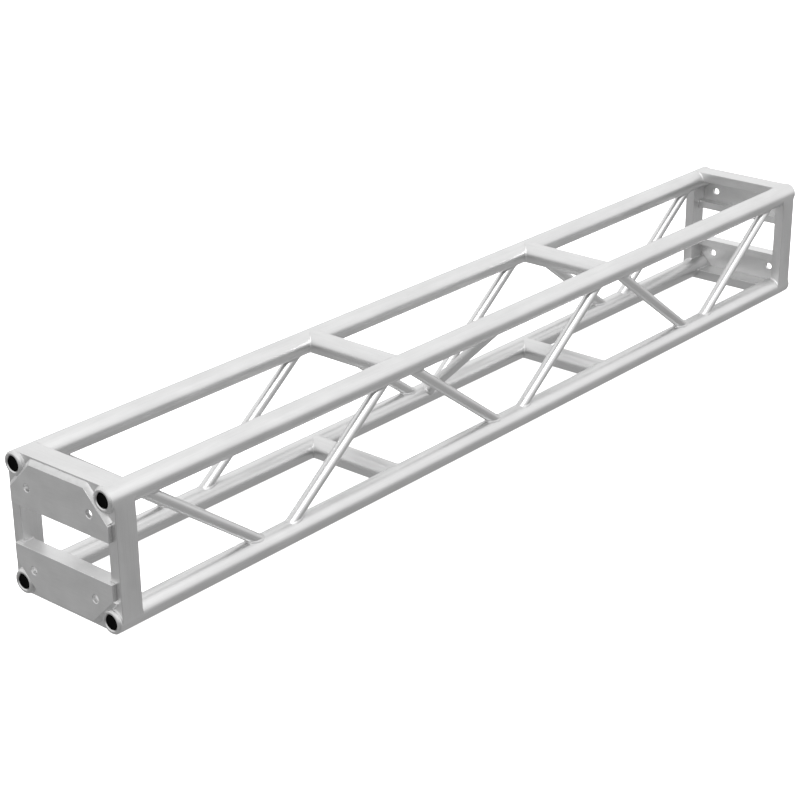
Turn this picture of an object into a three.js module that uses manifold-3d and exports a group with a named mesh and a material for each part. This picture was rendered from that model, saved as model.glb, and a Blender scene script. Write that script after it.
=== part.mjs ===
// Box truss section, 8 ft long and 12 in square: four round chords, tube lacing welded between them,
// and a bolting frame at each end. Millimetres. X runs along the truss, +Z is up, and the origin is
// under the middle of the section, on the level that it rests on. "left" is the -X end, "front" is -Y.
import * as THREE from "three";
import { mergeVertices } from "three/addons/utils/BufferGeometryUtils.js";
import Module from "manifold-3d";

// ---- driving dimensions ----
const LENGTH = 2438.4; // 8 ft, over the outer faces of the bolting plates
const SECTION = 304.8; // 12 in, over the chords, both ways
const GAP = 0.3; // clearance left where welded pieces meet

const CHORD_R = 25.4; // 2 in tube
const CHORD_WALL = 3.175;
const CHORD_SETBACK = 1; // the end rings sit this far behind the plates' faces
const CHORD_CHAMFER = 1;
const LACING_R = 12.7; // 1 in tube
const LACING_WALL = 3.175;
const SPREADER_TRIM = 8; // its ends stop this far short of the chord's axis

const BAY = 774; // distance between neighbouring lacing nodes on one chord
const NODE_GAP = 46; // two diagonals reach the chord's axis this far apart

const RING_R = 21.9; // end ring that closes each chord down to a smaller bore
const RING_BORE = 15;
const RING_LENGTH = 28;
const RING_COUNTERSINK = 3;
const RING_PROUD = 3; // how far the ring stands out of the tube
const PLUG_R = 14.6;
const PLUG_LENGTH = 14;
const PLUG_WALL = 2.5;
const PLUG_SETBACK = 0.5;

const PLATE_T = 9.5; // 3/8 in bolting plates
const PLATE_HALF_WIDTH = 139.7;
const PLATE_OUTER = 139.7; // from the middle height to the plate's outer edge
const PLATE_INNER = 43.7; // from the middle height to its inner edge
const PLATE_CORNER = 62; // leg of the corner cut that passes the chord
const BOLT_PITCH = 177.8; // 7 in square bolt pattern
const BOLT_HOLE_R = 8.75;

const BOX_WIDE = 50.8; // 2 x 1 in rectangular tube of the end frames
const BOX_THIN = 25.4;
const BOX_WALL = 3.175;
const BOX_CORNER = 3;
const BOX_TRIM = 9; // its ends stop this far short of the chord's axis
const BAR_DEPTH = 25.4; // stiffening bar behind each plate's inner edge
const BAR_HEIGHT = 19;

// How finely the round shapes are stepped.
const CHORD_SIDES = 32;
const RING_SIDES = 24;
const LACING_SIDES = 20;
const HOLE_SIDES = 24;
const CORNER_STEPS = 2;

// ---- derived places ----
const AXIS = SECTION / 2 - CHORD_R; // chord axes lie this far from the section's centre
const MID = SECTION / 2; // middle height
const END = LENGTH / 2;
const RING_FACE = END - CHORD_SETBACK;
const CHORD_HALF = RING_FACE - RING_PROUD;
const PLATE_BACK = END - PLATE_T;
const BOX_X = PLATE_BACK - GAP - BOX_WIDE / 2;

// ---- materials ----
const aluminium = new THREE.MeshStandardMaterial({ color: 0xd6d7d8, roughness: 0.42, metalness: 0.9 });
const machined = new THREE.MeshStandardMaterial({ color: 0xc9cacb, roughness: 0.32, metalness: 0.9 });
const blackPlastic = new THREE.MeshStandardMaterial({ color: 0x0a0a0a, roughness: 0.6, metalness: 0 });

// ---- solid tools ----
const wasm = await Module();
wasm.setup();

// The geometry of a mesh as a solid, seen from the space that the matrix leads to.
function solidOf(geometry, matrix) {
  const plain = (geometry.index ? geometry.toNonIndexed() : geometry.clone()).applyMatrix4(matrix);
  plain.deleteAttribute("normal");
  plain.deleteAttribute("uv");
  const merged = mergeVertices(plain, 1e-4);
  const triVerts = new Uint32Array(merged.index.array);
  const vertProperties = merged.attributes.position.array;
  return new wasm.Manifold(new wasm.Mesh({ numProp: 3, vertProperties, triVerts }));
}

// Takes the cutters out of the mesh, and leaves it in its own place.
function cut(mesh, cutters) {
  mesh.updateMatrixWorld(true);
  const toMesh = mesh.matrixWorld.clone().invert();
  let solid = solidOf(mesh.geometry, new THREE.Matrix4());
  for (const cutter of cutters) {
    cutter.updateMatrixWorld(true);
    solid = solid.subtract(solidOf(cutter.geometry, toMesh.clone().multiply(cutter.matrixWorld)));
  }
  const result = solid.getMesh();
  const geometry = new THREE.BufferGeometry();
  geometry.setAttribute("position", new THREE.BufferAttribute(result.vertProperties, 3));
  geometry.setIndex(new THREE.BufferAttribute(result.triVerts, 1));
  geometry.computeVertexNormals();
  mesh.geometry = geometry;
  return mesh;
}

// ---- stock: every length of stock runs along its own X, centred on its origin ----
function alongX(geometry, length) {
  return geometry.translate(0, 0, -length / 2).rotateY(Math.PI / 2);
}

// Extruded shapes draw an arc with two steps for each curve segment.
function roundTube(radius, wall, length, sides) {
  const ring = new THREE.Shape().absarc(0, 0, radius, 0, Math.PI * 2);
  ring.holes.push(new THREE.Path().absarc(0, 0, radius - wall, 0, Math.PI * 2, true));
  const options = { depth: length, bevelEnabled: false, curveSegments: sides / 2 };
  return alongX(new THREE.ExtrudeGeometry(ring, options), length);
}

function roundedOutline(path, width, height, corner) {
  const w = width / 2 - corner;
  const h = height / 2 - corner;
  path.absarc(w, h, corner, 0, Math.PI / 2);
  path.absarc(-w, h, corner, Math.PI / 2, Math.PI);
  path.absarc(-w, -h, corner, Math.PI, Math.PI * 1.5);
  path.absarc(w, -h, corner, Math.PI * 1.5, Math.PI * 2);
  return path.closePath();
}

// Rectangular tube: its section is `wide` along Y and `thin` along Z once it lies along X.
function boxTube(wide, thin, length) {
  const outline = roundedOutline(new THREE.Shape(), thin, wide, BOX_CORNER);
  const inner = [thin - 2 * BOX_WALL, wide - 2 * BOX_WALL, BOX_CORNER / 3];
  outline.holes.push(roundedOutline(new THREE.Path(), ...inner));
  const options = { depth: length, bevelEnabled: false, curveSegments: CORNER_STEPS };
  return alongX(new THREE.ExtrudeGeometry(outline, options), length);
}

// A turned solid about X from a closed profile of [distance along X, radius] pairs, listed with the
// solid on the left-hand side of the walk.
function turned(profile, sides) {
  const points = profile.map(([x, r]) => new THREE.Vector2(r, x));
  points.push(points[0].clone());
  return new THREE.LatheGeometry(points, sides).rotateZ(-Math.PI / 2);
}

// ---- assembly ----
const truss = new THREE.Group();
truss.name = "box_truss";

function place(name, geometry, material, position = [0, 0, 0], parent = truss) {
  const mesh = new THREE.Mesh(geometry, material);
  mesh.name = name;
  mesh.position.set(...position);
  parent.add(mesh);
  return mesh;
}

const LEVELS = [["top", 1], ["bottom", -1]];
const SIDES = [["front", -1], ["back", 1]];
const ENDS = [["left", -1], ["right", 1]];

// Chords: plain round tube, with the outer edge of each end broken.
function chordTube() {
  const inner = CHORD_R - CHORD_WALL;
  const rim = CHORD_R - CHORD_CHAMFER;
  const shoulder = CHORD_HALF - CHORD_CHAMFER;
  return turned(
    [
      [-CHORD_HALF, inner],
      [-CHORD_HALF, rim],
      [-shoulder, CHORD_R],
      [shoulder, CHORD_R],
      [CHORD_HALF, rim],
      [CHORD_HALF, inner],
    ],
    CHORD_SIDES,
  );
}

// What the lacing and the end frames are cut back by, so that they fit round a chord.
const chordCutters = [];
for (const [level, up] of LEVELS) {
  for (const [side, out] of SIDES) {
    const position = [0, out * AXIS, MID + up * AXIS];
    place("chord_" + level + "_" + side, chordTube(), aluminium, position);
    const clearance = [
      [-END, 0],
      [-END, CHORD_R + GAP],
      [END, CHORD_R + GAP],
      [END, 0],
    ];
    const cutter = new THREE.Mesh(turned(clearance, CHORD_SIDES));
    cutter.position.set(...position);
    chordCutters.push(cutter);
  }
}

// A round tube between two points, coped to the chords.
function lacing(name, from, to, radius, wall) {
  const start = new THREE.Vector3(...from);
  const run = new THREE.Vector3(...to).sub(start);
  const middle = start.clone().addScaledVector(run, 0.5);
  const sides = radius > LACING_R ? CHORD_SIDES : LACING_SIDES;
  const tube = place(name, roundTube(radius, wall, run.length(), sides), aluminium, middle.toArray());
  tube.quaternion.setFromUnitVectors(new THREE.Vector3(1, 0, 0), run.normalize());
  cut(tube, chordCutters);
}

// Side faces: three V shapes each. The bottom nodes are one bay apart about the middle, and the top
// nodes are half a bay to either side of them.
for (const [side, out] of SIDES) {
  let count = 0;
  for (const bay of [-1, 0, 1]) {
    for (const lean of [-1, 1]) {
      count += 1;
      const foot = bay * BAY + (lean * NODE_GAP) / 2;
      const head = bay * BAY + (lean * (BAY - NODE_GAP)) / 2;
      const low = [foot, out * AXIS, MID - AXIS];
      const high = [head, out * AXIS, MID + AXIS];
      lacing("diagonal_" + side + "_" + count, low, high, LACING_R, LACING_WALL);
    }
  }
}

// Top and bottom faces: two spreaders each, of chord tube, at the top nodes. They stop just short of
// the chord's axis, where the fitted ends would run out to nothing.
for (const [level, up] of LEVELS) {
  for (const [end, along] of ENDS) {
    const reach = AXIS - SPREADER_TRIM;
    const from = [(along * BAY) / 2, -reach, MID + up * AXIS];
    const to = [(along * BAY) / 2, reach, MID + up * AXIS];
    lacing("spreader_" + level + "_" + end, from, to, CHORD_R, CHORD_WALL);
  }
}

// One tube across the inside of the section at mid length, corner to corner.
lacing("cross_brace", [0, AXIS, MID - AXIS], [0, -AXIS, MID + AXIS], LACING_R, LACING_WALL);

// ---- ends ----
function endRing() {
  return turned(
    [
      [-RING_LENGTH, RING_BORE],
      [-RING_LENGTH, RING_R],
      [0, RING_R],
      [0, RING_BORE + RING_COUNTERSINK],
      [-RING_COUNTERSINK, RING_BORE],
    ],
    RING_SIDES,
  );
}

// A cap with a closed face and an open back.
function plug() {
  return turned(
    [
      [-PLUG_LENGTH, PLUG_R - PLUG_WALL],
      [-PLUG_LENGTH, PLUG_R],
      [0, PLUG_R],
      [0, 0],
      [-PLUG_WALL, 0],
      [-PLUG_WALL, PLUG_R - PLUG_WALL],
    ],
    RING_SIDES,
  );
}

// Outline of a bolting plate, drawn with the height along Y and the width along X.
function plateOutline() {
  const w = PLATE_HALF_WIDTH;
  const outline = new THREE.Shape();
  outline.moveTo(-w, PLATE_INNER);
  outline.lineTo(w, PLATE_INNER);
  outline.lineTo(w, PLATE_OUTER - PLATE_CORNER);
  outline.lineTo(w - PLATE_CORNER, PLATE_OUTER);
  outline.lineTo(-w + PLATE_CORNER, PLATE_OUTER);
  outline.lineTo(-w, PLATE_OUTER - PLATE_CORNER);
  outline.closePath();
  for (const across of [-1, 1]) {
    const hole = new THREE.Path();
    hole.absarc((across * BOLT_PITCH) / 2, BOLT_PITCH / 2, BOLT_HOLE_R, 0, Math.PI * 2, true);
    outline.holes.push(hole);
  }
  return outline;
}

for (const [end, along] of ENDS) {
  // Inside this group +X points out of the truss and z = 0 is the middle height.
  const frame = new THREE.Group();
  frame.position.set(0, 0, MID);
  frame.rotation.z = along > 0 ? 0 : Math.PI;
  truss.add(frame);
  frame.updateMatrixWorld(true);

  for (const [level, up] of LEVELS) {
    for (const [side, out] of SIDES) {
      const corner = level + "_" + side;
      const across = out * along * AXIS;
      const ringPlace = [RING_FACE, across, up * AXIS];
      place("end_ring_" + end + "_" + corner, endRing(), machined, ringPlace, frame);
      const plugPlace = [RING_FACE - PLUG_SETBACK, across, up * AXIS];
      place("plug_" + end + "_" + corner, plug(), blackPlastic, plugPlace, frame);
    }

    // Rails across the top and bottom, with their outer faces level with the chords.
    const railLength = 2 * (AXIS - BOX_TRIM);
    const railHeight = up * (SECTION / 2 - BOX_THIN / 2);
    const railPlace = [BOX_X, 0, railHeight];
    const railStock = boxTube(BOX_WIDE, BOX_THIN, railLength);
    const rail = place("end_rail_" + end + "_" + level, railStock, aluminium, railPlace, frame);
    rail.rotation.z = Math.PI / 2;
    cut(rail, chordCutters);

    // Bolting plates, and the bar that stiffens each one along its inner edge.
    const plateOptions = { depth: PLATE_T, bevelEnabled: false, curveSegments: HOLE_SIDES / 2 };
    const plateStock = new THREE.ExtrudeGeometry(plateOutline(), plateOptions);
    const plateName = "bolt_plate_" + end + "_" + level;
    const plate = place(plateName, plateStock, aluminium, [PLATE_BACK, 0, 0], frame);
    plate.rotation.set((up * Math.PI) / 2, Math.PI / 2, 0);
    const barStock = new THREE.BoxGeometry(BAR_DEPTH, 2 * (AXIS - GAP), BAR_HEIGHT);
    const barX = PLATE_BACK - GAP - BAR_DEPTH / 2;
    const barPlace = [barX, 0, up * (PLATE_INNER + BAR_HEIGHT / 2)];
    place("plate_bar_" + end + "_" + level, barStock, aluminium, barPlace, frame);
  }

  // Posts at the front and back, with their outer faces level with the chords.
  for (const [side, out] of SIDES) {
    const postLength = 2 * (AXIS - BOX_TRIM);
    const postPlace = [BOX_X, out * along * (SECTION / 2 - BOX_THIN / 2), 0];
    const postStock = boxTube(BOX_WIDE, BOX_THIN, postLength);
    const post = place("end_post_" + end + "_" + side, postStock, aluminium, postPlace, frame);
    post.rotation.set(0, Math.PI / 2, Math.PI / 2, "ZYX");
    cut(post, chordCutters);
  }
}

export default truss;
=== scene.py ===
# %% [markdown]
# # A box truss section in welded aluminium
#
# A box truss is a stock item of stage rigging: four tubes at the corners of a square, thinner tubes
# zigzagging between them, and a frame at each end that bolts to the next section. It is cut from
# mill-finish stock and welded, and leaves the shop unpainted, so its whole look comes from bare metal:
# how drawn tube, rolled plate and weld metal each take the light.
#
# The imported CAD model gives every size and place. Its tubes are faceted and its joints are open by a
# hair, so each piece is drawn again here over its CAD node, smooth and with broken edges, and the
# weld beads that close the joints are added.

import math

import bmesh
import bpy
import numpy as np
from mathutils import Matrix, Vector, noise
from mathutils.geometry import tessellate_polygon


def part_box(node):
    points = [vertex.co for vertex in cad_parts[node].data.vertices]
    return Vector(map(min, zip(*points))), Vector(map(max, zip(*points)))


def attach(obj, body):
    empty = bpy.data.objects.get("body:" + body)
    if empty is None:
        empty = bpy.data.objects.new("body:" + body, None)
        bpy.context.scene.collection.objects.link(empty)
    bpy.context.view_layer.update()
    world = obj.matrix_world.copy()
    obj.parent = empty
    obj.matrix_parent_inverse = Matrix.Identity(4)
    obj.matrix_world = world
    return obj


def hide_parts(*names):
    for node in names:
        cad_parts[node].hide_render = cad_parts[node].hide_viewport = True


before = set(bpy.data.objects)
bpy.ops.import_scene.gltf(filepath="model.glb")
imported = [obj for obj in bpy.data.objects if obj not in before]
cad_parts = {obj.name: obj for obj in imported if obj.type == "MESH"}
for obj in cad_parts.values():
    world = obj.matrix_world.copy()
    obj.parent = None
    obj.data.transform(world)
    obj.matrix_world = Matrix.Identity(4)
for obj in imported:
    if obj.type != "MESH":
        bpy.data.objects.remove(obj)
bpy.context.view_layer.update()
MM = 0.001
print("CAD nodes:", len(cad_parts))

# %% [markdown]
# The driving sizes are read off the CAD boxes. A chord's box gives its radius and its axis, and the
# pieces of an end frame give the rest. Only what a box can't show is named here as a number: the
# tube walls, and the small radii and chamfers of the edges.

# %% Sizes read from the frame
ENDS = {"left": -1, "right": 1}
LEVELS = {"bottom": -1, "top": 1}
SIDES = {"front": -1, "back": 1}


def box_of(node):
    low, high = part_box(node)
    return np.array(low), np.array(high)


def middle_of(node):
    low, high = box_of(node)
    return (low + high) / 2


chord_low, chord_high = box_of("chord_bottom_front")
CHORD_R = (chord_high[2] - chord_low[2]) / 2
CHORD_HALF = chord_high[0]
CHORD_WALL = 3.175 * MM
LACING_WALL = 3.175 * MM
CHORDS = {
    (level, side): middle_of(f"chord_{level}_{side}")[1:] for level in LEVELS for side in SIDES
}
MID = (CHORDS["top", "front"][1] + CHORDS["bottom", "front"][1]) / 2
print(f"chord radius {CHORD_R / MM:.2f} mm, half length {CHORD_HALF / MM:.1f} mm")
print(f"middle height {MID / MM:.1f} mm")


# %% [markdown]
# ## Finishes
#
# Bare aluminium is a metal in the shader too: metallic 1, a light grey base colour, and no colour of
# its own under the surface. What tells tube from plate from weld is the grain. One helper adds a
# node with its settings and its links, another gives each finish its Principled shader.

# %% Colour and node helpers
def linear(hex_colour):
    """An sRGB hex colour as the linear RGBA that shaders take."""
    channels = [int(hex_colour[i : i + 2], 16) / 255 for i in (1, 3, 5)]
    return [c / 12.92 if c <= 0.04045 else ((c + 0.055) / 1.055) ** 2.4 for c in channels] + [1.0]


def add(tree, kind, settings=None, **sockets):
    """Adds a node. A socket is given by its name, or by its number as _0, _1 and so on. Its value
    is a number, a colour, or another node's output to link from."""
    node = tree.nodes.new(kind)
    for name, value in (settings or {}).items():
        setattr(node, name, value)
    for name, value in sockets.items():
        socket = node.inputs[int(name[1:]) if name[0] == "_" else name.replace("_", " ")]
        if isinstance(value, bpy.types.NodeSocket):
            tree.links.new(value, socket)
        else:
            socket.default_value = value
    return node


def finish(name, **sockets):
    """A new material with its Principled shader, and its tree to add the pattern to."""
    material = bpy.data.materials.new(name)
    material.use_nodes = True
    tree = material.node_tree
    tree.nodes.clear()
    shader = add(tree, "ShaderNodeBsdfPrincipled", **sockets)
    output = add(tree, "ShaderNodeOutputMaterial")
    tree.links.new(shader.outputs["BSDF"], output.inputs["Surface"])
    return material, tree, shader


def ramp(tree, factor, stops):
    """A colour ramp from (position, grey level or hex colour) stops."""
    node = add(tree, "ShaderNodeValToRGB", Fac=factor)
    elements = node.color_ramp.elements
    while len(elements) < len(stops):
        elements.new(0.5)
    for element, (position, value) in zip(elements, stops):
        element.position = position
        element.color = linear(value) if isinstance(value, str) else (value, value, value, 1)
    return node.outputs["Color"]


def stretched_noise(tree, place, sizes_mm, detail=3.0, roughness=0.6):
    """Noise whose blotches have the given size along each axis of the piece, in millimetres."""
    scale = [1 / (size * MM) for size in sizes_mm]
    mapped = add(tree, "ShaderNodeMapping", Vector=place, Scale=scale)
    node = add(
        tree,
        "ShaderNodeTexNoise",
        Vector=mapped.outputs["Vector"],
        Scale=1.0,
        Detail=detail,
        Roughness=roughness,
    )
    return node.outputs["Fac"]


def mixed(tree, amount, a, b, mode="MIX"):
    """Colour a with the given amount of colour b mixed in."""
    settings = {"data_type": "RGBA", "blend_type": mode}
    node = add(tree, "ShaderNodeMix", settings, _0=amount, _6=a, _7=b)
    return node.outputs[2]


def relief(tree, *layers):
    """Bump from (height, depth in millimetres) layers, one on top of the other."""
    normal = None
    for height, depth_mm in layers:
        sockets = {"Height": height, "Distance": depth_mm * MM, "Strength": 1.0}
        if normal is not None:
            sockets["Normal"] = normal
        normal = add(tree, "ShaderNodeBump", **sockets).outputs["Normal"]
    return normal


# %% [markdown]
# ### Mill-finish drawn tube
#
# The chords and lacing are 6061 alloy tube as it comes off the draw bench. The die leaves faint
# lines along the tube, a tenth of a millimetre apart; lines that fine vanish at any viewing
# distance, so they are drawn about 1.5 mm wide. Over them lie the cloudy patches of the oxide skin,
# a hand's breadth long, and the odd handling scratch. Each piece has its own X along its length, so
# one material serves every tube. Close to a weld the skin is etched dull and pale: each mesh carries
# that as a "weld_heat" attribute, strongest at the bead and 0 two centimetres away.

# %% Drawn tube
HEAT_PALE = "#dddddd"
HEAT_ROUGHNESS = 0.5
SCRATCH_BRIGHT = "#f4f4f4"
PATCH_DEPTH_MM = 0.015
SCRATCH_DEPTH_MM = -0.02


def metal_pattern(tree, grain_mm, patch_mm, scratch_mm, place):
    """The three layers that every bare metal here has: grain, oxide patches and scratches."""
    grain = stretched_noise(tree, place, grain_mm, detail=2.0, roughness=0.5)
    patches = stretched_noise(tree, place, patch_mm, detail=4.0, roughness=0.55)
    wear = stretched_noise(tree, place, scratch_mm, detail=1.0, roughness=0.4)
    scratches = ramp(tree, wear, [(0.0, 0.0), (0.72, 0.0), (0.8, 0.22)])
    return grain, patches, scratches


def bare_aluminium(name, light, dark, base_roughness, grain_mm, patch_mm, scratch_mm, grain_depth_mm):
    """Bare aluminium whose grain, patches and scratches have real sizes along the piece's axes."""
    material, tree, shader = finish(name, Metallic=1.0)
    place = add(tree, "ShaderNodeTexCoord").outputs["Object"]
    grain, patches, scratches = metal_pattern(tree, grain_mm, patch_mm, scratch_mm, place)
    heat = add(tree, "ShaderNodeAttribute", {"attribute_name": "weld_heat"}).outputs["Fac"]

    clouded = ramp(tree, patches, [(0.32, dark), (0.62, light)])
    lined = ramp(tree, grain, [(0.35, "#fbfbfb"), (0.6, "#ffffff")])
    metal = mixed(tree, 1.0, clouded, lined, "MULTIPLY")
    etched = mixed(tree, heat, metal, linear(HEAT_PALE))
    scuffed = mixed(tree, scratches, etched, linear(SCRATCH_BRIGHT))
    tree.links.new(scuffed, shader.inputs["Base Color"])

    rough = ramp(tree, patches, [(0.3, base_roughness - 0.04), (0.7, base_roughness + 0.05)])
    lined_rough = mixed(tree, 0.25, rough, ramp(tree, grain, [(0.3, 0.32), (0.7, 0.40)]))
    dulled = mixed(tree, heat, lined_rough, [HEAT_ROUGHNESS] * 3 + [1])
    tree.links.new(dulled, shader.inputs["Roughness"])

    layers = [(grain, grain_depth_mm), (patches, PATCH_DEPTH_MM), (scratches, SCRATCH_DEPTH_MM)]
    tree.links.new(relief(tree, *layers), shader.inputs["Normal"])
    return material


drawn_tube = bare_aluminium(
    "drawn_aluminium_tube",
    light="#e2e2e2",
    dark="#dbdbdb",
    base_roughness=0.36,
    grain_mm=(120, 1.5, 1.5),
    patch_mm=(110, 35, 35),
    scratch_mm=(9, 0.9, 0.9),
    grain_depth_mm=0.0012,
)
print("finish:", drawn_tube.name)

# %% [markdown]
# ### Extruded box tube and rolled plate
#
# The end frames are of rectangular extrusion, whose die lines are coarser than a drawn tube's, and of
# flat bar, rolled and sawn to length. Plate has the flattest, most even grey of all, with a short
# grain across the truss. Both start from the same metal, with other grain sizes.

# %% Extrusion and plate
extruded_tube = bare_aluminium(
    "extruded_aluminium_box",
    light="#e1e1e1",
    dark="#dadada",
    base_roughness=0.36,
    grain_mm=(150, 2.2, 2.2),
    patch_mm=(80, 40, 40),
    scratch_mm=(7, 0.9, 0.9),
    grain_depth_mm=0.0012,
)
rolled_plate = bare_aluminium(
    "rolled_aluminium_plate",
    light="#e8e8e8",
    dark="#e1e1e1",
    base_roughness=0.36,
    grain_mm=(45, 1.2, 1.2),
    patch_mm=(60, 45, 45),
    scratch_mm=(6, 0.8, 0.8),
    grain_depth_mm=0.0012,
)
print("finishes:", extruded_tube.name, rolled_plate.name)

# %% [markdown]
# ### Weld metal
#
# The beads are laid by hand with filler rod. Aluminium weld freezes a shade duller and rougher than
# the mill skin beside it. Its ripples are in the mesh, one for each dab of the rod; the material
# only adds the fine grain of the frozen metal and a little soot in patches.

# %% Weld bead
weld_metal = bare_aluminium(
    "aluminium_weld_bead",
    light="#dddddd",
    dark="#d2d2d2",
    base_roughness=0.56,
    grain_mm=(1.4, 1.4, 1.4),
    patch_mm=(14, 14, 14),
    scratch_mm=(4, 1.5, 1.5),
    grain_depth_mm=0.015,
)
print("finish:", weld_metal.name)

# %% [markdown]
# ### Turned rings
#
# The ring in each chord's end is turned on a lathe, which leaves fine circles round its axis and a
# smoother face than the mill skin's. The circles come from the distance to the piece's own X axis.
# A tool mark is 0.1 mm wide; it is drawn at 0.7 mm.

# %% Turned metal
TOOL_MARK_MM = 0.7


def turned_aluminium(name):
    """Metal with fine circles round the piece's own X axis."""
    material, tree, shader = finish(name, Metallic=1.0)
    place = add(tree, "ShaderNodeTexCoord").outputs["Object"]
    across = add(tree, "ShaderNodeVectorMath", {"operation": "MULTIPLY"}, _0=place, _1=(0, 1, 1))
    radius = add(tree, "ShaderNodeVectorMath", {"operation": "LENGTH"}, _0=across.outputs[0])
    marks = add(
        tree,
        "ShaderNodeTexNoise",
        {"noise_dimensions": "1D"},
        W=radius.outputs["Value"],
        Scale=1 / (TOOL_MARK_MM * MM),
        Detail=2.0,
    ).outputs["Fac"]
    smudges = stretched_noise(tree, place, (12, 12, 12))
    colour = mixed(
        tree,
        1.0,
        ramp(tree, smudges, [(0.35, "#d9d9d9"), (0.65, "#e7e7e7")]),
        ramp(tree, marks, [(0.35, "#e6e6e6"), (0.65, "#ffffff")]),
        "MULTIPLY",
    )
    tree.links.new(colour, shader.inputs["Base Color"])
    tree.links.new(ramp(tree, smudges, [(0.3, 0.3), (0.7, 0.42)]), shader.inputs["Roughness"])
    tree.links.new(relief(tree, (marks, 0.02)), shader.inputs["Normal"])
    return material


turned_metal = turned_aluminium("turned_aluminium_ring")
print("finish:", turned_metal.name)

# %% [markdown]
# ### Moulded plastic
#
# The plugs are moulded polyethylene, filled with carbon black: almost no colour, a matt skin of fine
# bumps, and a slightly greyer bloom where it has rubbed. The bumps are 0.1 mm on the real plug, and
# 0.6 mm here.

# %% Black polyethylene
def black_polyethylene(name):
    """Matt black plastic with a fine skin and a faint bloom."""
    material, tree, shader = finish(name, Metallic=0.0, IOR=1.51, Specular_IOR_Level=0.03)
    place = add(tree, "ShaderNodeTexCoord").outputs["Object"]
    skin = stretched_noise(tree, place, (0.6, 0.6, 0.6), detail=2.0)
    bloom = stretched_noise(tree, place, (9, 9, 9), detail=3.0)
    tree.links.new(
        ramp(tree, bloom, [(0.35, "#020202"), (0.75, "#060606")]), shader.inputs["Base Color"]
    )
    tree.links.new(ramp(tree, bloom, [(0.3, 0.55), (0.7, 0.7)]), shader.inputs["Roughness"])
    tree.links.new(relief(tree, (skin, 0.03)), shader.inputs["Normal"])
    return material


plug_plastic = black_polyethylene("moulded_black_polyethylene")
print("finish:", plug_plastic.name)


# %% [markdown]
# ## Mesh helpers
#
# Three shapes cover the whole truss. A *turned* piece is a profile spun about X. A *member* is a
# hollow section drawn along a line and cut to fit the chords it meets. A *slab* is an outline with
# holes, given thickness and broken edges. All of them are written straight as vertices and faces,
# because the exact line where two tubes meet is also where the weld goes.

# %% Turning vertices and faces into a piece
def new_piece(name, vertices, faces, material, place=None, heat=None, sharp_deg=35):
    """A mesh object at place (a matrix), with smooth faces and sharp edges, riding on the truss."""
    mesh = bpy.data.meshes.new(name)
    mesh.from_pydata([tuple(v) for v in vertices], [], faces)
    if heat is not None:
        attribute = mesh.attributes.new("weld_heat", "FLOAT", "POINT")
        attribute.data.foreach_set("value", np.asarray(heat, np.float32))
    shell = bmesh.new()
    shell.from_mesh(mesh)
    bmesh.ops.recalc_face_normals(shell, faces=shell.faces)
    shell.to_mesh(mesh)
    shell.free()
    mesh.shade_smooth()
    mesh.set_sharp_from_angle(angle=math.radians(sharp_deg))
    mesh.materials.append(material)
    piece = bpy.data.objects.new(name, mesh)
    bpy.context.scene.collection.objects.link(piece)
    if place is not None:
        piece.matrix_world = place
    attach(piece, "root")
    return piece


def stitched(ring_count, ring_size, close_path):
    """Quads between neighbouring rings of vertices that are numbered ring by ring."""
    faces = []
    for i in range(ring_count if close_path else ring_count - 1):
        j = (i + 1) % ring_count
        for k in range(ring_size):
            n = (k + 1) % ring_size
            faces.append(
                (i * ring_size + k, i * ring_size + n, j * ring_size + n, j * ring_size + k)
            )
    return faces


# %% [markdown]
# ### Turned pieces
#
# The profile is a closed loop of (distance along X, radius) points. Where it touches the axis, its
# ring of vertices would fall in one place, so it becomes a single vertex there.

# %% Turned pieces
def turned_mesh(profile, sides):
    """Vertices and faces of a profile spun about X. Points with no radius become one vertex."""
    vertices = []
    rows = []
    for x, r in profile:
        if r == 0:
            rows.append([len(vertices)] * sides)
            vertices.append((x, 0, 0))
            continue
        rows.append(list(range(len(vertices), len(vertices) + sides)))
        for k in range(sides):
            angle = 2 * math.pi * k / sides
            vertices.append((x, r * math.cos(angle), r * math.sin(angle)))
    faces = []
    on_axis = [r == 0 for _, r in profile]
    for i in range(len(profile)):
        j = (i + 1) % len(profile)
        if on_axis[i] and on_axis[j]:
            continue
        for k in range(sides):
            n = (k + 1) % sides
            corners = [rows[i][k], rows[i][n], rows[j][n], rows[j][k]]
            faces.append(tuple(dict.fromkeys(corners)))
    return vertices, faces


def place_at(x, y, z, facing=1):
    """A place for a piece whose own +X is to point along facing times the truss's X."""
    turn = Matrix.Identity(4) if facing > 0 else Matrix.Rotation(math.pi, 4, "Z")
    return Matrix.Translation((x, y, z)) @ turn


# %% [markdown]
# ### Members cut to fit
#
# A member's end is coped: cut to the shape of the chord that it lands on. For each point of the
# section, the line along the member meets the chord's cylinder at one distance, the root of a
# quadratic. That gives an exact saddle, with no boolean and no ragged triangles. The
# direction of a member is the direction of the long edges of its CAD mesh: on a tube they
# run along it, and the few that cross a facet cancel out round the section.

# %% Finding a member's line
LONG_EDGE = 0.6  # an edge longer than this share of the longest one runs along the member


def line_of(node):
    """The middle of a straight member and the direction along it."""
    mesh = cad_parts[node].data
    points = np.array([v.co for v in mesh.vertices])
    edges = np.array([tuple(e.vertices) for e in mesh.edges])
    runs = points[edges[:, 1]] - points[edges[:, 0]]
    lengths = np.linalg.norm(runs, axis=1)
    long_runs = runs[lengths > LONG_EDGE * lengths.max()]
    guide = long_runs[0]
    long_runs *= np.sign(long_runs @ guide)[:, None]
    direction = long_runs.sum(axis=0)
    return middle_of(node), direction / np.linalg.norm(direction)


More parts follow.
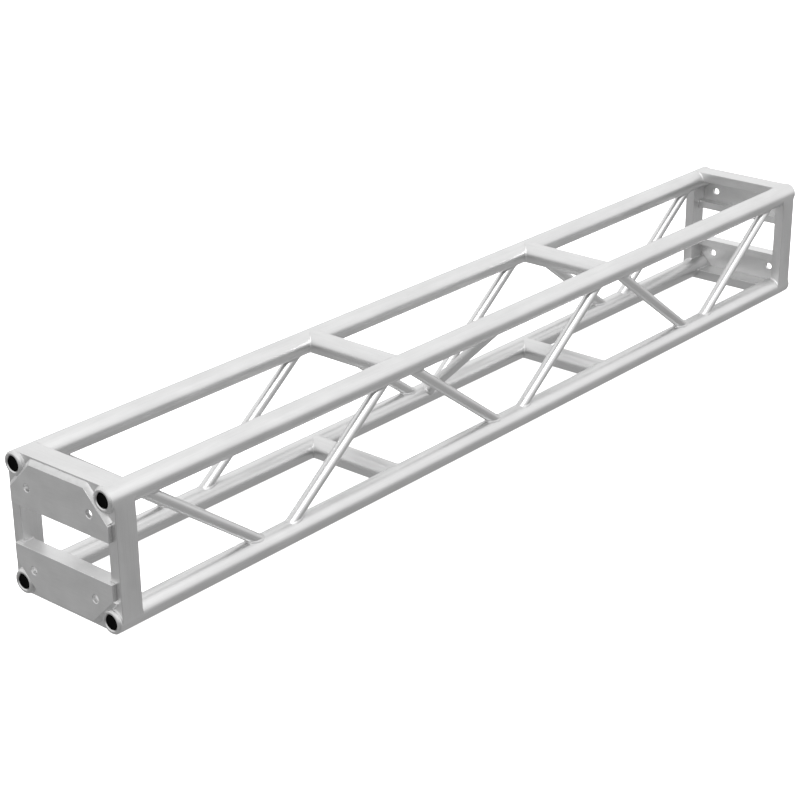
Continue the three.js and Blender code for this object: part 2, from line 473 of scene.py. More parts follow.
def reach_to_chord(start, direction, chord):
    """How far start travels along direction before it meets that chord's surface."""
    y, z = start[1] - chord[0], start[2] - chord[1]
    dy, dz = direction[1], direction[2]
    a = dy * dy + dz * dz
    b = y * dy + z * dz
    c = y * y + z * z - CHORD_R**2
    return (-b - math.sqrt(max(b * b - a * c, 0.0))) / a


centre, direction = line_of("diagonal_front_1")
print("diagonal_front_1 leans", round(math.degrees(math.asin(abs(direction[2]))), 1), "degrees")


# %% [markdown]
# A member's section is a loop of points across it: round for tube, rectangular for box tube.

# %% Sections
def round_section(radius, sides):
    """A circle of points."""
    angles = [2 * math.pi * k / sides for k in range(sides)]
    return [(radius * math.cos(a), radius * math.sin(a)) for a in angles]


def box_section(width, height, corner, corner_steps=4, side_steps=10):
    """A rectangle with round corners. Its sides are divided so that a coped end can curve."""
    w, h = width / 2 - corner, height / 2 - corner
    centres = [(w, h), (-w, h), (-w, -h), (w, -h)]
    arcs = []
    for quarter, (cy, cz) in enumerate(centres):
        angles = [math.pi / 2 * (quarter + s / corner_steps) for s in range(corner_steps + 1)]
        arcs.append([(cy + corner * math.cos(a), cz + corner * math.sin(a)) for a in angles])
    section = []
    for arc, after in zip(arcs, arcs[1:] + arcs[:1]):
        section += arc
        (y0, z0), (y1, z1) = arc[-1], after[0]
        for s in range(1, side_steps):
            section.append((y0 + (y1 - y0) * s / side_steps, z0 + (z1 - z0) * s / side_steps))
    return section


# %% [markdown]
# A member is four loops of vertices at its ends, outer and inner, with a few more in between so that
# the pale zone beside each weld has somewhere to fade. Its own X runs along it, which is what the
# grain of the tube follows.

# %% Members
HEAT_REACH = 22 * MM
HEAT_MOST = 0.5
HEAT_FADE = 1.5  # above 1, the pale zone fades faster close to the weld
HEAT_STEPS = [0.0, 0.25, 0.6, 1.0]  # shares of its reach where a member has a loop of vertices


def heat_at(distance):
    """The weld_heat at a distance along the piece from its weld."""
    return HEAT_MOST * max(0.0, 1 - distance / HEAT_REACH) ** HEAT_FADE


def member(name, node, outer, inner, chords, material):
    """A hollow member, coped to the chords with these two (y, z) axes. For each end it returns what
    its bead needs: the loop of points where its outside meets the chord, the way that its outside
    faces at each, the direction back along it, the chord, and a function that keeps a point on it."""
    centre, along = line_of(node)
    # A member that runs mostly along the truss has its section turned by Y, any other by X.
    sideways = np.array([1.0, 0, 0]) if abs(along[0]) < 0.5 else np.array([0, 1.0, 0])
    up = np.cross(along, sideways)
    up /= np.linalg.norm(up)
    sideways = np.cross(up, along)
    axes = np.array([along, sideways, up]).T
    if along[1:] @ (chords[1] - chords[0]) < 0:
        chords = chords[::-1]

    def end_reach(point, chord, sign):
        start = centre + axes @ np.array([0, *point])
        return reach_to_chord(start, along * sign, chord)

    def loops(section):
        low = [-end_reach(p, chords[0], -1) for p in section]
        high = [end_reach(p, chords[1], 1) for p in section]
        return np.array(low), np.array(high)

    low, high = loops(outer)
    inner_low, inner_high = loops(inner)
    distances = [share * HEAT_REACH for share in HEAT_STEPS]
    rings = [[(x + d, *p) for x, p in zip(low, outer)] for d in distances]
    rings += [[(x - d, *p) for x, p in zip(high, outer)] for d in reversed(distances)]
    rings.append([(x, *p) for x, p in zip(inner_high, inner)])
    rings.append([(x, *p) for x, p in zip(inner_low, inner)])
    from_weld = distances + distances[::-1] + [0.0, 0.0]
    size = len(outer)
    vertices = [v for ring in rings for v in ring]
    heat = [heat_at(d) for d in from_weld for _ in range(size)]
    place = Matrix.Translation(centre) @ Matrix(axes.tolist()).to_4x4()
    piece = new_piece(
        name, vertices, stitched(len(rings), size, True), material, place, heat=heat
    )
    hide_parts(node)

    def seam(reach):
        points = [centre + axes @ np.array([x, *p]) for x, p in zip(reach, outer)]
        normals = []
        for k in range(size):
            ahead, behind = np.array(outer[(k + 1) % size]), np.array(outer[k - 1])
            run = ahead - behind
            normals.append(axes @ np.array([0, run[1], -run[0]]) / np.linalg.norm(run))
        return points, normals

    most = np.abs(np.array(outer)).max(axis=0)

    def within(point):
        """Keeps a toe on the member's own faces: past the end of a face there is nothing to weld."""
        inside = axes.T @ (point - centre)
        inside[1:] = np.clip(inside[1:], -most, most)
        return centre + axes @ inside

    return (*seam(low), along, chords[0], within), (*seam(high), -along, chords[1], within)


# %% [markdown]
# ## Welds
#
# A fillet weld fills the corner between two surfaces, with a slightly crowned face and a ripple for
# every dab of filler. Here it is a section swept along the seam: a buried root, a toe on each
# surface, and a crowned face whose height and width pulse every few millimetres.

# %% Beads
DAB = 3.2 * MM  # distance between ripples
BEAD_STEP = 0.8 * MM
LEAST_STEPS = 8
FACE_POINTS = 5
CROWN = 0.08  # height of the crowned face, as a share of the leg
MEAN_REACH = 0.98  # how far a toe lies out, as a share of the leg
WANDER = 0.06  # how much that share wanders, as a hand does
WANDER_PER_M = 90
TOE_DEPTH = 0.15 * MM
RIPPLE_OUT = 0.15 * MM
RIPPLE_UP = 0.16 * MM
ROOT_DEPTH = 0.8 * MM
LEAST_LEG = 0.3 * MM
FULL_CORNER = 0.45  # 1 - cos of the angle between the two surfaces from which the leg is whole


def resampled(points, directions, closed):
    """The seam again with points an equal step apart, the directions there, and the distances."""
    stack = np.hstack([np.array(points), *[np.array(d) for d in directions]])
    if closed:
        stack = np.vstack([stack, stack[:1]])
    lengths = np.linalg.norm(np.diff(stack[:, :3], axis=0), axis=1)
    along = np.concatenate([[0], np.cumsum(lengths)])
    count = max(int(along[-1] / BEAD_STEP), LEAST_STEPS)
    wanted = np.linspace(0, along[-1], count, endpoint=not closed)
    fresh = np.array([np.interp(wanted, along, column) for column in stack.T]).T
    columns = [fresh[:, k : k + 3] for k in range(3, fresh.shape[1], 3)]
    return fresh[:, :3], [unit(column) for column in columns], wanted


def unit(rows):
    """Each row scaled to length 1."""
    return rows / np.maximum(np.linalg.norm(rows, axis=1), 1e-9)[:, None]


def towards(across, away):
    """Across, turned round wherever it points against away."""
    return across * np.where((across * away).sum(axis=1) < 0, -1, 1)[:, None]


def bead(
    name,
    points,
    normals_a,
    normals_b,
    leg,
    away_a=None,
    away_b=None,
    closed=True,
    snap_a=None,
    snap_b=None,
):
    """A fillet weld along a seam between surface a and surface b. leg is its reach on each.
    away_a and away_b say which way each surface leads off from the seam: as a rule, the way the other
    surface faces. snap_a and snap_b, if given, bring a toe back onto its surface."""
    away_a = normals_b if away_a is None else away_a
    away_b = normals_a if away_b is None else away_b
    points, directions, along = resampled(points, [normals_a, normals_b, away_a, away_b], closed)
    na, nb, away_a, away_b = directions
    count = len(points)
    ahead = np.roll(points, -1, axis=0) - np.roll(points, 1, axis=0)
    if not closed:
        ahead[0], ahead[-1] = points[1] - points[0], points[-1] - points[-2]
    ahead = unit(ahead)
    to_a = towards(unit(np.cross(na, ahead)), away_a)
    to_b = towards(unit(np.cross(nb, ahead)), away_b)
    out = unit(na + nb)
    # Where the two surfaces run into each other with no corner, the bead thins out to nothing.
    open_share = np.clip((1 - (na * nb).sum(axis=1)) / FULL_CORNER, 0, 1)

    rings = []
    for i in range(count):
        ripple = abs(math.sin(math.pi * along[i] / DAB))
        wander = noise.noise(Vector(points[i] * WANDER_PER_M)) * WANDER
        size = max(leg * open_share[i], LEAST_LEG)
        reach = size * (MEAN_REACH + wander) + RIPPLE_OUT * ripple
        toe_a = points[i] + to_a[i] * reach
        toe_b = points[i] + to_b[i] * reach
        toe_a = (snap_a(toe_a) if snap_a else toe_a) - na[i] * TOE_DEPTH
        toe_b = (snap_b(toe_b) if snap_b else toe_b) - nb[i] * TOE_DEPTH
        face = []
        for k in range(FACE_POINTS):
            share = k / (FACE_POINTS - 1)
            bulge = 4 * share * (1 - share) * (size * CROWN + RIPPLE_UP * ripple)
            face.append(toe_a + (toe_b - toe_a) * share + out[i] * bulge)
        root = points[i] - out[i] * ROOT_DEPTH
        rings.append([root, *face])
    size = FACE_POINTS + 1
    faces = stitched(count, size, closed)
    if not closed:
        faces.append(tuple(range(size)))
        faces.append(tuple(range((count - 1) * size, count * size)))
    vertices = [v for ring in rings for v in ring]
    return new_piece(name, vertices, faces, weld_metal, sharp_deg=60)


def onto_chord(chord):
    """Pulls a point onto the surface of the chord at that (y, z) axis."""

    def snap(point):
        offset = point[1:] - chord
        return np.array([point[0], *(chord + offset / np.linalg.norm(offset) * CHORD_R)])

    return snap


def chord_seam_bead(name, seam, leg):
    """The weld round the end of a member that lands on a chord."""
    points, normals, along, chord, within = seam
    points = np.array(points)
    offsets = points * (0, 1, 1) - (0, *chord)
    spread = points - points.mean(axis=0)
    away = np.tile(along, (len(points), 1))
    return bead(
        name, points, normals, unit(offsets), leg, away, spread, True, within, onto_chord(chord)
    )


# %% [markdown]
# ## Chords, lacing and spreaders
#
# The chords run full length. Twelve lighter tubes zigzag along the front and the back, two fat
# spreaders cross the top face and two the bottom face, and one light tube crosses the inside at the
# middle to keep the square from leaning. Every landing on a chord gets its weld.

# %% Chords
CHORD_EDGE = 1.0 * MM
CHORD_SIDES = 96


def chord_piece(level, side):
    """A chord with chamfered ends, and loops of vertices where the pale zone at each end fades."""
    y, z = CHORDS[level, side]
    bore = CHORD_R - CHORD_WALL
    stations = [CHORD_HALF - share * HEAT_REACH for share in HEAT_STEPS[:0:-1]]
    ends = [(CHORD_HALF - CHORD_EDGE, CHORD_R), (CHORD_HALF, CHORD_R - CHORD_EDGE)]
    half = [(x, CHORD_R) for x in stations] + ends
    outer = [(-x, r) for x, r in reversed(half)] + half
    profile = outer + [(CHORD_HALF, bore), (-CHORD_HALF, bore)]
    vertices, faces = turned_mesh(profile, CHORD_SIDES)
    heat = [heat_at(CHORD_HALF - abs(v[0])) for v in vertices]
    node = f"chord_{level}_{side}"
    piece = new_piece(
        f"{node}_tube", vertices, faces, drawn_tube, place_at(0, y, z), heat=heat
    )
    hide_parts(node)


for level, side in CHORDS:
    chord_piece(level, side)
print("chords:", len(CHORDS))

# %% [markdown]
# A side diagonal lies flat in the side of the truss, so the depth of its CAD box is its diameter. Its
# two welds are named a and b, after the two ends of its own X.

# %% Zigzag lacing and the cross brace
LACING_SIDES = 48
LACING_LEG = 3.5 * MM
lacing_low, lacing_high = box_of("diagonal_front_1")
LACING_R = (lacing_high[1] - lacing_low[1]) / 2


def laced(node, chords):
    """A lacing tube between two chords, with the weld at each end."""
    outer = round_section(LACING_R, LACING_SIDES)
    inner = round_section(LACING_R - LACING_WALL, LACING_SIDES)
    seams = member(f"{node}_tube", node, outer, inner, chords, drawn_tube)
    for end, seam in zip("ab", seams):
        chord_seam_bead(f"weld_{node}_{end}", seam, LACING_LEG)


diagonals = sorted(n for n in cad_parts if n.startswith("diagonal"))
for node in diagonals:
    side = node.split("_")[1]
    laced(node, [CHORDS["bottom", side], CHORDS["top", side]])
laced("cross_brace", [CHORDS["bottom", "back"], CHORDS["top", "front"]])
print("lacing tubes:", len(diagonals) + 1, "radius", round(LACING_R / MM, 2), "mm")

# %% [markdown]
# The spreaders are of the chords' own tube. Top and bottom run level into the chord, with no corner
# to fill, so the bead thins out there and is widest at the sides.

# %% Spreaders
SPREADER_SIDES = 96
SPREADER_LEG = 2.2 * MM
for level in LEVELS:
    for end in ENDS:
        node = f"spreader_{level}_{end}"
        outer = round_section(CHORD_R, SPREADER_SIDES)
        inner = round_section(CHORD_R - CHORD_WALL, SPREADER_SIDES)
        chords = [CHORDS[level, "front"], CHORDS[level, "back"]]
        seams = member(f"{node}_tube", node, outer, inner, chords, drawn_tube)
        for end_mark, seam in zip("ab", seams):
            chord_seam_bead(f"weld_{node}_{end_mark}", seam, SPREADER_LEG)
print("spreaders:", len(LEVELS) * len(ENDS))

# %% [markdown]
# ## End frames
#
# Rails and posts of box tube close each end into a square. They are coped to the chords like the
# lacing, only with another section, so the same member function makes them.

# %% Rails and posts
BOX_CORNER = 1.0 * MM
BOX_WALL = 3.175 * MM
BOX_LEG = 2.4 * MM


def box_member(node, chords):
    """A rail or a post, whose wide side lies along the truss."""
    low, high = box_of(node)
    size = high - low
    wide = size[0]
    thin = min(size)
    outer = box_section(wide, thin, BOX_CORNER)
    inner = box_section(wide - 2 * BOX_WALL, thin - 2 * BOX_WALL, BOX_CORNER / 3)
    seams = member(f"{node}_tube", node, outer, inner, chords, extruded_tube)
    for end_mark, seam in zip("ab", seams):
        chord_seam_bead(f"weld_{node}_{end_mark}", seam, BOX_LEG)


for end in ENDS:
    for level in LEVELS:
        box_member(f"end_rail_{end}_{level}", [CHORDS[level, "front"], CHORDS[level, "back"]])
    for side in SIDES:
        box_member(f"end_post_{end}_{side}", [CHORDS["bottom", side], CHORDS["top", side]])
print("rails and posts:", len(ENDS) * (len(LEVELS) + len(SIDES)))

# %% [markdown]
# ### Bolting plates and their bars
#
# Each plate is flat bar with its two outer corners sawn off so that it clears the chords, and two
# drilled holes. Its edges are broken with a file, by a third of a millimetre, and the holes get a
# light countersink. Each face is the outline with its holes, inset by those breaks and filled; the
# breaks and the walls are strips between copies of each loop.

# %% Plates
EDGE_BREAK = 0.3 * MM
JOINT_BREAK = 0.02 * MM  # the edge that the bar is welded to and ground flush with
HOLE_BREAK = 0.9 * MM
HOLE_R = 8.75 * MM
HOLE_STEPS = 48
BOLT_HALF_PITCH = 88.9 * MM
PLATE_CORNER = 62 * MM


def inset(loop, distance):
    """Moves each corner of a loop by the distance: inwards if it runs anticlockwise, else outwards."""
    moved = []
    for k, point in enumerate(loop):
        before, after = loop[k - 1], loop[(k + 1) % len(loop)]
        normals = []
        for a, b in ((before, point), (point, after)):
            run = np.array(b) - np.array(a)
            run /= np.linalg.norm(run)
            normals.append(np.array([-run[1], run[0]]))
        bisector = normals[0] + normals[1]
        bisector /= bisector @ normals[0]
        moved.append(tuple(np.array(point) + bisector * distance))
    return moved


def slab(outline, holes, thickness, edge, far_edge):
    """Vertices and faces of a plate from x = 0 to x = thickness. The outline runs anticlockwise,
    and the holes run clockwise. edge and far_edge are the outline's breaks at each face."""
    vertices, faces = [], []
    starts = []
    loops = [outline, *holes]
    breaks = [(edge, far_edge)] + [(HOLE_BREAK, HOLE_BREAK)] * len(holes)
    for loop, (near, far) in zip(loops, breaks):
        rows = []
        levels = [(0, near), (near, 0), (thickness - far, 0), (thickness, far)]
        for x, inward in levels:
            rows.append(len(vertices))
            vertices += [(x, *p) for p in (inset(loop, inward) if inward else loop)]
        starts.append(rows)
        size = len(loop)
        for low, high in zip(rows, rows[1:]):
            for k in range(size):
                n = (k + 1) % size
                faces.append((low + k, low + n, high + n, high + k))
    for level in (0, len(levels) - 1):
        numbers = [rows[level] + k for rows, loop in zip(starts, loops) for k in range(len(loop))]
        outlines = [
            [Vector(vertices[rows[level] + k]) for k in range(len(loop))]
            for rows, loop in zip(starts, loops)
        ]
        for triangle in tessellate_polygon(outlines):
            faces.append(tuple(numbers[k] for k in triangle))
    return vertices, faces


def plate_outline(half_width, inner, outer, corner):
    """A bolting plate's outline, with heights measured from the middle of the truss."""
    return [
        (-half_width, inner),
        (half_width, inner),
        (half_width, outer - corner),
        (half_width - corner, outer),
        (-half_width + corner, outer),
        (-half_width, outer - corner),
    ]


def hole(y, z, radius):
    """A clockwise circle, as slab wants for a hole."""
    angles = [-2 * math.pi * k / HOLE_STEPS for k in range(HOLE_STEPS)]
    return [(y + radius * math.cos(a), z + radius * math.sin(a)) for a in angles]


# Rolled plate has its grain across the truss, so a plate's own X points that way.
ACROSS = Matrix.Rotation(math.pi / 2, 4, "Z")


def plate_piece(end, level):
    """A bolting plate, drawn from its outer face inwards. Returns its thickness and width."""
    node = f"bolt_plate_{end}_{level}"
    low, high = box_of(node)
    out = ENDS[end]
    up = LEVELS[level]
    thickness = high[0] - low[0]
    near, far = sorted((abs(low[2] - MID), abs(high[2] - MID)))
    outline = plate_outline(high[1], near, far, PLATE_CORNER)
    holes = [hole(s * BOLT_HALF_PITCH, BOLT_HALF_PITCH, HOLE_R) for s in (-1, 1)]
    vertices, faces = slab(outline, holes, thickness, EDGE_BREAK, JOINT_BREAK)
    face_x = out * max(abs(low[0]), abs(high[0]))
    world = [Vector((face_x - out * x, y, MID + up * z)) for x, y, z in vertices]
    centre = Vector((face_x, 0, MID + up * (near + far) / 2))
    place = Matrix.Translation(centre) @ ACROSS
    local = [place.inverted() @ v for v in world]
    piece = new_piece(f"{node}_plate", local, faces, rolled_plate, place)
    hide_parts(node)
    return thickness, high[1] - low[1]


for end in ENDS:
    for level in LEVELS:
        thickness, width = plate_piece(end, level)
print(f"plates {thickness / MM:.1f} mm thick, {width / MM:.1f} mm wide")


# %% [markdown]
# A solid bar lies behind the inner edge of each plate and stiffens it where it spans the window. It
# is drawn right up to the plate, since the weld between them is ground flush.

# %% Bars behind the plates
def bar_piece(end, level):
    """A square bar across the truss, with its two far edges broken."""
    node = f"plate_bar_{end}_{level}"
    low, high = box_of(node)
    plate_low, plate_high = box_of(f"bolt_plate_{end}_{level}")
    if ENDS[end] < 0:
        low[0] = plate_high[0]
    else:
        high[0] = plate_low[0]
    centre = (low + high) / 2
    size = high - low
    half_depth = size[0] / 2
    half_height = size[2] / 2
    outline = [
        (-half_depth, -half_height),
        (half_depth - EDGE_BREAK, -half_height),
        (half_depth, -half_height + EDGE_BREAK),
        (half_depth, half_height - EDGE_BREAK),
        (half_depth - EDGE_BREAK, half_height),
        (-half_depth, half_height),
    ]
    vertices, faces = slab(outline, [], size[1], EDGE_BREAK, EDGE_BREAK)
    vertices = [(x - size[1] / 2, ENDS[end] * y, z) for x, y, z in vertices]
    place = Matrix.Translation(centre) @ ACROSS
    piece = new_piece(f"{node}_bar", vertices, faces, rolled_plate, place)
    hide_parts(node)


for end in ENDS:
    for level in LEVELS:
        bar_piece(end, level)
print("bars:", len(ENDS) * len(LEVELS))

# %% [markdown]
# ### Plate welds
#
# One bead follows the outer edge of each plate, where it sits on the rail and the posts: along one
# sawn corner, across, and along the other. It fills the step almost to the plate's face, and stops
# at the plate's upright sides, which stay bare. Each end of a bar has a short bead too, where its
# open face meets the inside of a post.

# %% Plate welds
PLATE_LEG = 9.0 * MM
BAR_LEG = 3.0 * MM
BAR_WELD_POINTS = 12
WELD_STEP = 3 * MM


def divided(points, normals):
    """The same open polyline with extra points on its straight runs, and each run's own normal.
    At a corner the normal is halfway between the two, so that the bead turns it in one sweep."""
    fresh, facing = [], []
    for a, b, normal in zip(points, points[1:], normals):
        count = max(int(np.linalg.norm(b - a) / WELD_STEP), 2)
        for k in range(1, count):
            fresh.append(a + (b - a) * k / count)
            facing.append(normal)
        fresh.append(b)
        facing.append(normal)
    for k, (before, after) in enumerate(zip(facing, facing[1:])):
        facing[k] = (before + after) / np.linalg.norm(before + after)
    return fresh, facing


def plate_weld(end, level):
    """The bead along one sawn corner of a plate, its outer edge and the other sawn corner."""
    low, high = box_of(f"bolt_plate_{end}_{level}")
    out = ENDS[end]
    up = LEVELS[level]
    far = max(abs(low[2] - MID), abs(high[2] - MID))
    half = high[1]
    seam_x = out * min(abs(low[0]), abs(high[0]))
    route = [
        (-half, far - PLATE_CORNER),
        (-half + PLATE_CORNER, far),
        (half - PLATE_CORNER, far),
        (half, far - PLATE_CORNER),
    ]
    slant = math.sqrt(0.5)
    facings = [(0, -slant, slant), (0, 0, 1), (0, slant, slant)]
    corners = [np.array([seam_x, y, MID + up * z]) for y, z in route]
    normals = [np.array([x, y, up * z], float) for x, y, z in facings]
    points, facing = divided(corners, normals)
    outward = [np.array([out, 0, 0.0])] * len(points)
    bead(f"weld_plate_{end}_{level}", points, facing, outward, PLATE_LEG, closed=False)


def bar_weld(end, level, side):
    """The short bead between the bar's exposed face and the inside of a post."""
    low, high = box_of(f"plate_bar_{end}_{level}")
    up = LEVELS[level]
    across = SIDES[side]
    y = across * box_of(f"end_post_{end}_back")[0][1]
    z = low[2] if up > 0 else high[2]
    points = [np.array([x, y, z]) for x in np.linspace(low[0], high[0], BAR_WELD_POINTS)]
    bar_facing = [np.array([0, 0, -up], float)] * len(points)
    post_facing = [np.array([0, -across, 0], float)] * len(points)
    name = f"weld_bar_{end}_{level}_{side}"
    bead(name, points, bar_facing, post_facing, BAR_LEG, closed=False)


for end in ENDS:
    for level in LEVELS:
        plate_weld(end, level)
        for side in SIDES:
            bar_weld(end, level, side)
print("plate and bar welds:", len(ENDS) * len(LEVELS) * (1 + len(SIDES)))


# %% [markdown]
# ### Ring and plug in each chord end
#
# The ring has a countersunk mouth, and is slipped into the tube and welded round its shoulder. The
# plug is pressed into the ring, and its face has a soft rim round a shallow dish.

# %% Rings, plugs and the weld round each ring
ROUND_SIDES = 72
RING_BORE = 15 * MM
COUNTERSINK = 3 * MM
RING_EDGE = 0.5 * MM
RING_WELD = 0.95  # its leg, as a share of how far the ring stands out of the tube
PLUG_WALL = 2.5 * MM
PLUG_DISH = 0.5 * MM
PLUG_RIM_MM = [(0.6, 0), (0.15, 0.25), (0, 0.9), (0.1, 2.2)]  # (below its top, in from its edge)
PLUG_DISH_START = 3.2 * MM  # in from its edge
PLUG_SAG = 0.05 * MM  # how much deeper the dish is a third of the way out than at its middle


def ring_profile(length, radius):
    """The ring from its inner end to its mouth, which is at x = 0."""
    return [
        (-length, RING_BORE),
        (-length, radius),
        (-RING_EDGE, radius),
        (0, radius - RING_EDGE),
        (0, RING_BORE + COUNTERSINK),
        (-COUNTERSINK, RING_BORE),
    ]


def plug_profile(length, radius):
    """The plug: a cup whose closed end is at x = 0."""
    rim = [(-below * MM, radius - inwards * MM) for below, inwards in PLUG_RIM_MM]
    return [
        (-length, radius - PLUG_WALL),
        (-length, radius),
        *rim,
        (-PLUG_DISH, radius - PLUG_DISH_START),
        (-PLUG_DISH - PLUG_SAG, radius / 3),
        (-PLUG_DISH, 0),
        (-PLUG_DISH - PLUG_WALL, 0),
        (-PLUG_DISH - PLUG_WALL, radius - PLUG_WALL),
    ]


def turned_piece(node, suffix, profile_of, material, out):
    """A ring or a plug in its CAD node's place, facing out of the truss. Returns its face's X."""
    low, high = box_of(node)
    centre = (low + high) / 2
    face_x = high[0] if out > 0 else low[0]
    profile = profile_of(high[0] - low[0], (high[2] - low[2]) / 2)
    vertices, faces = turned_mesh(profile, ROUND_SIDES)
    place = place_at(face_x, centre[1], centre[2], out)
    piece = new_piece(f"{node}_{suffix}", vertices, faces, material, place)
    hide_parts(node)
    return face_x


def ring_weld(name, face_x, out, chord, radius):
    """The bead between the ring's shoulder and the chord's sawn end."""
    points, ring_normals, end_normals = [], [], []
    for k in range(ROUND_SIDES):
        angle = 2 * math.pi * k / ROUND_SIDES
        spoke = np.array([0, math.cos(angle), math.sin(angle)])
        points.append(np.array([out * CHORD_HALF, *chord]) + spoke * radius)
        ring_normals.append(spoke)
        end_normals.append(np.array([out, 0, 0.0]))
    bead(name, points, ring_normals, end_normals, abs(face_x - out * CHORD_HALF) * RING_WELD)


for end, out in ENDS.items():
    for (level, side), chord in CHORDS.items():
        corner = f"{end}_{level}_{side}"
        ring_low, ring_high = box_of(f"end_ring_{corner}")
        ring_radius = (ring_high[2] - ring_low[2]) / 2
        face_x = turned_piece(
            f"end_ring_{corner}", "turned", ring_profile, turned_metal, out
        )
        turned_piece(f"plug_{corner}", "moulded", plug_profile, plug_plastic, out)
        ring_weld(f"weld_ring_{corner}", face_x, out, chord, ring_radius)
print("rings and plugs: 8 of each, ring radius", round(ring_radius / MM, 1), "mm")


# %% [markdown]
# ## Studio
#
# Bare metal shows its surroundings, so the light is most of the finish. The truss lies on a round
# sheet of white paper whose rim curves up into a wall, so that no view has a horizon. The paper
# glows, and is kept out of the metal's reflections, or every underside would be white.

# %% Floor
FLOOR_DROP = 0.5 * MM
# The (radius, height) of the paper in metres, from the middle outwards.
SWEEP = [(0.0, 0.0), (18.0, 0.0), (20.0, 0.4), (21.4, 1.5), (22.0, 3.5), (22.0, 16.0)]
SWEEP_SIDES = 96


def paper_sweep(profile, sides):
    """Vertices and faces of a profile spun about Z, with one vertex in the middle."""
    vertices = [(0, 0, profile[0][1])]
    for radius, height in profile[1:]:
        for k in range(sides):
            angle = 2 * math.pi * k / sides
            vertices.append((radius * math.cos(angle), radius * math.sin(angle), height))
    faces = [(0, 1 + k, 1 + (k + 1) % sides) for k in range(sides)]
    faces += [tuple(1 + v for v in face) for face in stitched(len(profile) - 1, sides, False)]
    return vertices, faces


floor_mesh = bpy.data.meshes.new("floor")
sweep_vertices, sweep_faces = paper_sweep(SWEEP, SWEEP_SIDES)
floor_mesh.from_pydata(sweep_vertices, [], sweep_faces)
floor_mesh.shade_smooth()
floor_material, *_ = finish(
    "lit_white_paper",
    Base_Color=linear("#f7f7f7"),
    Roughness=0.9,
    Emission_Color=linear("#ffffff"),
    Emission_Strength=1.0,
)
floor_mesh.materials.append(floor_material)
floor = bpy.data.objects.new("floor", floor_mesh)
bpy.context.scene.collection.objects.link(floor)
floor.location.z = -FLOOR_DROP
for rays in ("visible_glossy", "visible_diffuse", "visible_shadow"):
    setattr(floor, rays, False)
print("floor:", 2 * SWEEP[-1][0], "m across")


# %% [markdown]
# The room is a bright ceiling above the horizon and grey below it, with a soft step between. A tube
# shows that step as the edge between its lit top and its grey side. The side that the viewer stands
# on is darker still, low down.

# %% Room light
# (height from -1, straight down, to 1, straight up; brightness)
ROOM_LEVELS = [
    (-1.0, 0.41),
    (-0.7, 0.41),
    (-0.45, 0.39),
    (-0.18, 0.39),
    (-0.06, 0.60),
    (0.06, 0.90),
    (0.16, 1.05),
    (1.0, 1.05),
]
VIEWER_SIDE = Vector((-0.60, -0.70, -0.39))
VIEWER_SHADE = 0.6  # what is left of the light there
SHADE_STARTS = 0.5  # cos of the angle from the viewer's side
SHADE_WHOLE = 0.95


def room(levels):
    """A plain room as the world's light. It depends on height, and falls off on the viewer's side."""
    world = bpy.data.worlds.new("studio_room")
    bpy.context.scene.world = world
    world.use_nodes = True
    tree = world.node_tree
    tree.nodes.clear()
    place = add(tree, "ShaderNodeTexCoord").outputs["Generated"]
    height = add(tree, "ShaderNodeSeparateXYZ", Vector=place).outputs["Z"]
    share = add(tree, "ShaderNodeMapRange", Value=height, From_Min=-1.0, From_Max=1.0)
    stops = [((h + 1) / 2, level) for h, level in levels]
    colour = ramp(tree, share.outputs["Result"], stops)
    facing = add(
        tree, "ShaderNodeVectorMath", {"operation": "DOT_PRODUCT"}, _0=place, _1=VIEWER_SIDE
    )
    shade = add(
        tree,
        "ShaderNodeMapRange",
        {"interpolation_type": "SMOOTHSTEP"},
        Value=facing.outputs["Value"],
        From_Min=SHADE_STARTS,
        From_Max=SHADE_WHOLE,
        To_Min=1.0,
        To_Max=VIEWER_SHADE,
    )
    lit = add(tree, "ShaderNodeVectorMath", {"operation": "SCALE"}, _0=colour)
    tree.links.new(shade.outputs["Result"], lit.inputs["Scale"])
    background = add(tree, "ShaderNodeBackground", Color=lit.outputs["Vector"], Strength=1.0)
    output = add(tree, "ShaderNodeOutputWorld")
    tree.links.new(background.outputs["Background"], output.inputs["Surface"])


room(ROOM_LEVELS)


# %% [markdown]
# One soft light stands over the near end. It draws the bright line along each tube.

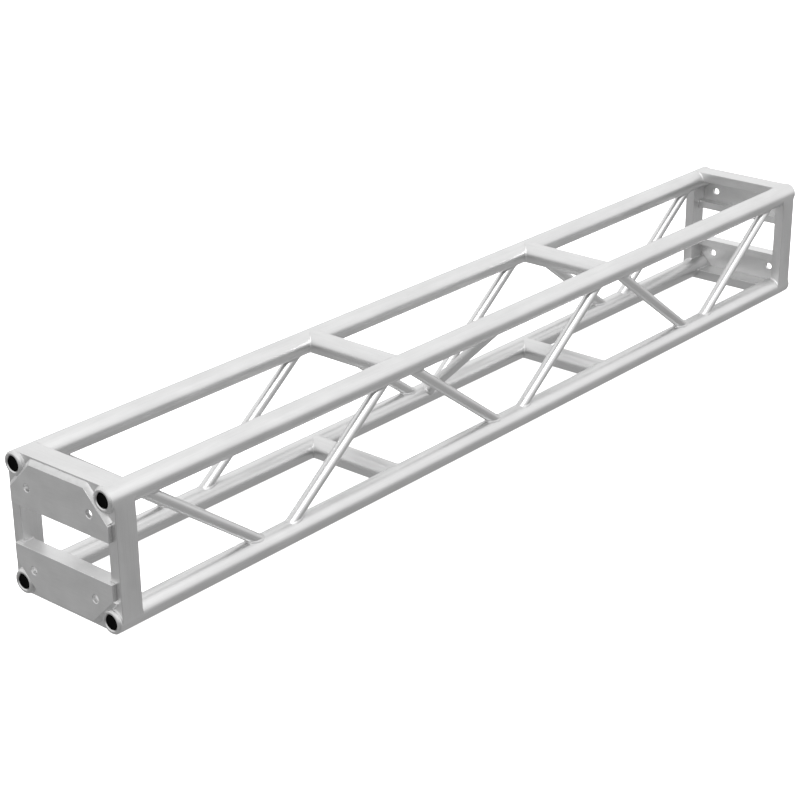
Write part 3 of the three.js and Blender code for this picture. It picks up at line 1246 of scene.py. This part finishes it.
# %% Key light
KEY_DIRECTION = (-0.18, -0.60, 0.78)
KEY_DISTANCE = 9.0
KEY_SIZE = 2.2
KEY_WATTS = 260


def soft_light(name, direction, distance, size, power):
    """A round soft light in a direction from the middle of the truss, facing it."""
    light = bpy.data.lights.new(name, "AREA")
    light.shape = "DISK"
    light.size = size
    light.energy = power
    lamp = bpy.data.objects.new(name, light)
    bpy.context.scene.collection.objects.link(lamp)
    back = Vector(direction).normalized()
    lamp.location = Vector((0, 0, MID)) + back * distance
    lamp.rotation_euler = back.to_track_quat("Z", "Y").to_euler()


soft_light("key_over_the_near_end", KEY_DIRECTION, KEY_DISTANCE, KEY_SIZE, KEY_WATTS)

# %% [markdown]
# The camera stands off the near end, above the truss and to its front, with a long lens so that the
# far end doesn't shrink too much. Colours go to the screen without a film curve, so white paper
# stays white.

# %% Camera
CAMERA_PLACE = (-3.3329, -2.6768, 1.8702)  # metres
CAMERA_HEADING_DEG = 49.185
CAMERA_DOWN_DEG = 23.140
CAMERA_ROLL_DEG = -0.633
LENS_MM = 89.39
SENSOR_MM = 36.0
SEES_TO = 200.0  # metres, well past the paper's rim

camera = bpy.data.cameras.new("camera")
camera.lens = LENS_MM
camera.sensor_width = SENSOR_MM
camera.clip_end = SEES_TO
viewpoint = bpy.data.objects.new("camera", camera)
bpy.context.scene.collection.objects.link(viewpoint)
viewpoint.matrix_world = (
    Matrix.Translation(CAMERA_PLACE)
    @ Matrix.Rotation(math.radians(-CAMERA_HEADING_DEG), 4, "Z")
    @ Matrix.Rotation(math.radians(90 - CAMERA_DOWN_DEG), 4, "X")
    @ Matrix.Rotation(math.radians(CAMERA_ROLL_DEG), 4, "Z")
)
bpy.context.scene.camera = viewpoint
bpy.context.scene.view_settings.view_transform = "Standard"
print("camera", round((Vector(CAMERA_PLACE) - Vector((0, 0, MID))).length, 2), "m from the middle")

# %% [markdown]
# Last, the view layer is brought up to date.

# %% Last update
bpy.context.view_layer.update()
